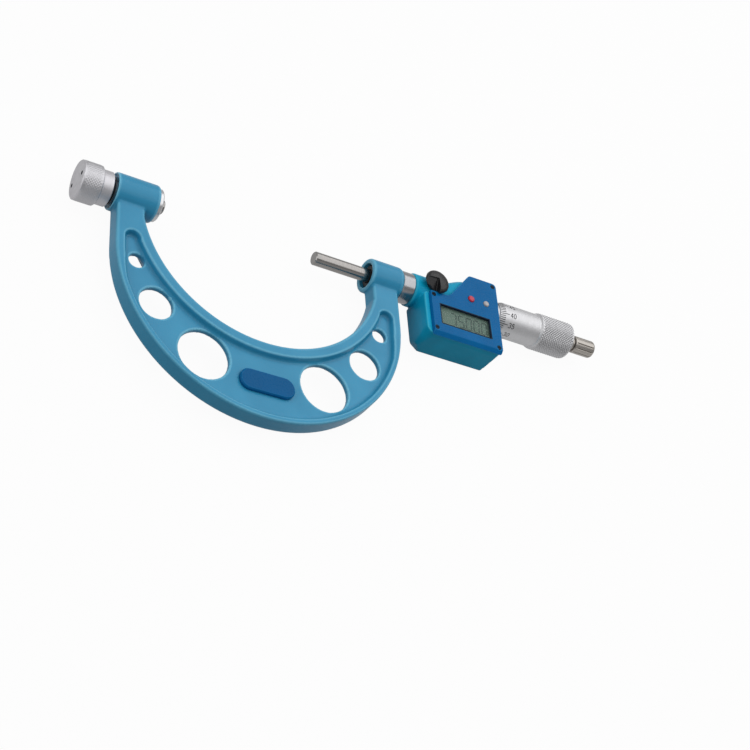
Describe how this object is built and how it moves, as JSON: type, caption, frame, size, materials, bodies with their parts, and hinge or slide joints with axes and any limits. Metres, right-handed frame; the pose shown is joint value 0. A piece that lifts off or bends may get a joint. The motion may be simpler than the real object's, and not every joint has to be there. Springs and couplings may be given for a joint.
{
  "type": "digital outside micrometer",
  "caption": "Digital outside micrometer: C-shaped frame with a clamped anvil, a screw-driven spindle, a display housing with buttons, a lock knob and a ratchet thimble.",
  "frame": {"origin": "centre of the anvil's measuring face", "axes": "+X along the measuring axis from the anvil to the ratchet, +Y away from the frame's bow, +Z out of the display side"},
  "size_m": [0.276, 0.1085, 0.0226],
  "materials": {
    "frame_enamel": "satin",
    "pad_enamel": "gloss",
    "housing_plastic": "satin",
    "panel_plastic": "satin",
    "satin_chrome": "satin",
    "knurled_steel": "knurled",
    "ground_steel": "ground",
    "hard_metal": "lapped",
    "dark_steel": "blackened",
    "black_plastic": "gloss",
    "black_rubber": "matte",
    "lens_acrylic": "gloss",
    "display_glass": "gloss",
    "board": "satin",
    "brass": "satin",
    "battery_steel": "satin",
    "red_plastic": "gloss",
    "grey_plastic": "satin",
    "spring_wire": "satin"
  },
  "bodies": {
    "body": {"frame": "frame_enamel", "label_pad": "pad_enamel", "anvil_bush": "satin_chrome", "anvil": "ground_steel", "anvil_tip": "hard_metal", "anvil_tail": "dark_steel", "guide_tube": "ground_steel", "wiper_ring": "black_rubber", "bright_ring": "satin_chrome", "housing": "housing_plastic", "front_panel": "panel_plastic", "window_lens": "lens_acrylic", "display": "display_glass", "circuit_board": "board", "battery_contact": "brass", "battery": "battery_steel", "key_seals": "black_rubber", "panel_screws": "dark_steel", "lock_shoe": "brass", "encoder_stator": "board", "graduated_sleeve": "satin_chrome", "inner_sleeve": "ground_steel", "adjusting_nut": "dark_steel"},
    "encoder_rotor": {"encoder_rotor": "brass"},
    "spindle": {"spindle": "ground_steel", "spindle_tip": "hard_metal", "thimble": "satin_chrome", "ratchet_disc": "dark_steel", "ratchet_screw": "dark_steel"},
    "ratchet": {"ratchet_knob": "dark_steel", "ratchet_spring": "spring_wire"},
    "lock": {"lock_knob": "black_plastic", "lock_screw": "dark_steel"},
    "red_button": {"red_button": "red_plastic"},
    "grey_button": {"grey_button": "grey_plastic"},
    "cap_pad": {"cap_pad": "brass"},
    "clamp_cap": {"clamp_cap": "knurled_steel"},
    "battery_cover": {"battery_cover": "black_plastic"}
  },
  "joints": [
    {"name": "thimble_turn", "type": "hinge", "parent": "body", "child": "encoder_rotor", "pos_m": [0.154, 0, 0], "axis": [1, 0, 0], "range_deg": [0, 18000]},
    {"name": "spindle_travel", "type": "slide", "parent": "encoder_rotor", "child": "spindle", "axis": [1, 0, 0], "range_m": [0, 0.025]},
    {"name": "ratchet_turn", "type": "hinge", "parent": "spindle", "child": "ratchet", "pos_m": [0.23, 0, 0], "axis": [1, 0, 0], "continuous": true},
    {"name": "lock_turn", "type": "hinge", "parent": "body", "child": "lock", "pos_m": [0.1355, 0, 0.009], "axis": [0, 0, 1], "range_deg": [-60, 0]},
    {"name": "red_button_press", "type": "slide", "parent": "body", "child": "red_button", "axis": [0, 0, -1], "range_m": [0, 0.0004], "stiffness_N_per_m": 600},
    {"name": "grey_button_press", "type": "slide", "parent": "body", "child": "grey_button", "axis": [0, 0, -1], "range_m": [0, 0.0004], "stiffness_N_per_m": 600},
    {"name": "cap_travel", "type": "slide", "parent": "body", "child": "cap_pad", "axis": [-1, 0, 0], "range_m": [0, 0.006]},
    {"name": "cap_turn", "type": "hinge", "parent": "cap_pad", "child": "clamp_cap", "pos_m": [-0.032, 0, 0], "axis": [-1, 0, 0], "range_deg": [0, 2160]},
    {"name": "battery_cover_turn", "type": "hinge", "parent": "body", "child": "battery_cover", "pos_m": [0.1509, -0.0169, -0.009], "axis": [0, 0, -1], "range_deg": [0, 90]}
  ],
  "couplings": [
    {"joint": "thimble_turn", "follows": "spindle_travel", "rad_per_m": 12566},
    {"joint": "cap_turn", "follows": "cap_travel", "rad_per_m": 6283.1}
  ]
}
